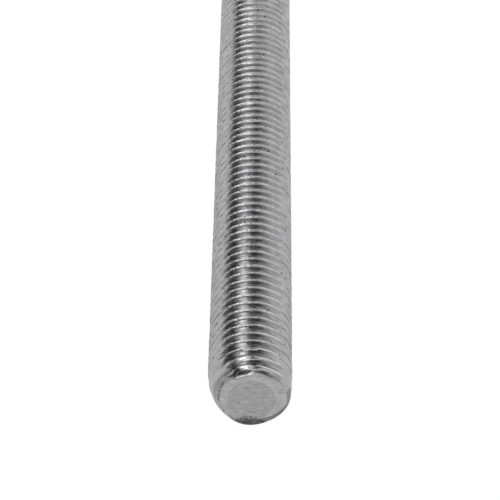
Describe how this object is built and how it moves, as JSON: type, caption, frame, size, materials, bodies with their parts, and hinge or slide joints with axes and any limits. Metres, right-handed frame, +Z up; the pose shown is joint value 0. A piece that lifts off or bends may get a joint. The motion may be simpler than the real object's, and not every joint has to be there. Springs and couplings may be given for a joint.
{
  "type": "threaded rod",
  "caption": "Straight round steel rod with a rolled right-hand metric thread along its whole length and a flat chamfered face at each end.",
  "frame": {"origin": "centre of the near end face, on the rod's axis", "axes": "+Y along the rod's axis from the near end face to the far one; the rod lies level, with +Z up"},
  "size_m": [0.012, 0.15, 0.0118],
  "materials": {
    "zinc_plated_steel": "bright zinc-plated rolled thread with burnished crests, small nicks and pale sawn end faces"
  },
  "bodies": {
    "root": {"threaded_rod": "zinc_plated_steel"}
  },
  "joints": []
}
